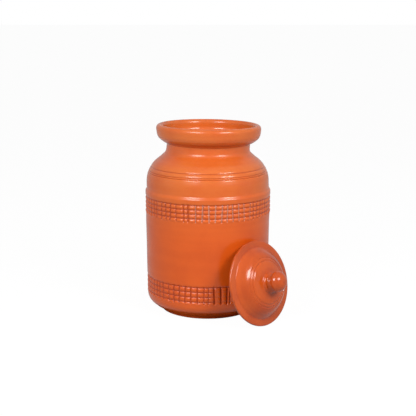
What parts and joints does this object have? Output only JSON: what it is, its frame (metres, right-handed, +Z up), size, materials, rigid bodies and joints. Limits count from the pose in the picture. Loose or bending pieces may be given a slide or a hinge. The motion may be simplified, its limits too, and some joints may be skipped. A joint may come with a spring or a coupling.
{
  "type": "lidded clay water jar",
  "caption": "Wheel-thrown terracotta water jar with a cupped rim, tooled grid bands and a loose knobbed lid that leans against its side.",
  "frame": {"origin": "centre of the jar's flat foot, on the surface that the jar and the lid stand on", "axes": "+Z up along the jar's own axis; -Y is the front; the lid stands in front and towards +X"},
  "size_m": [0.2329, 0.252, 0.3066],
  "materials": {
    "jar_clay": "burnished red-orange terracotta with a thin satin slip",
    "lid_clay": "burnished red-orange terracotta with a thin satin slip"
  },
  "bodies": {
    "jar": {"jar": "jar_clay"},
    "lid": {"lid": "lid_clay"}
  },
  "joints": [
    {"name": "lid_lift_away", "type": "slide", "parent": "jar", "child": "lid", "axis": [0.7088, -0.6633, 0.2402], "range_m": [0, 0.25]}
  ]
}
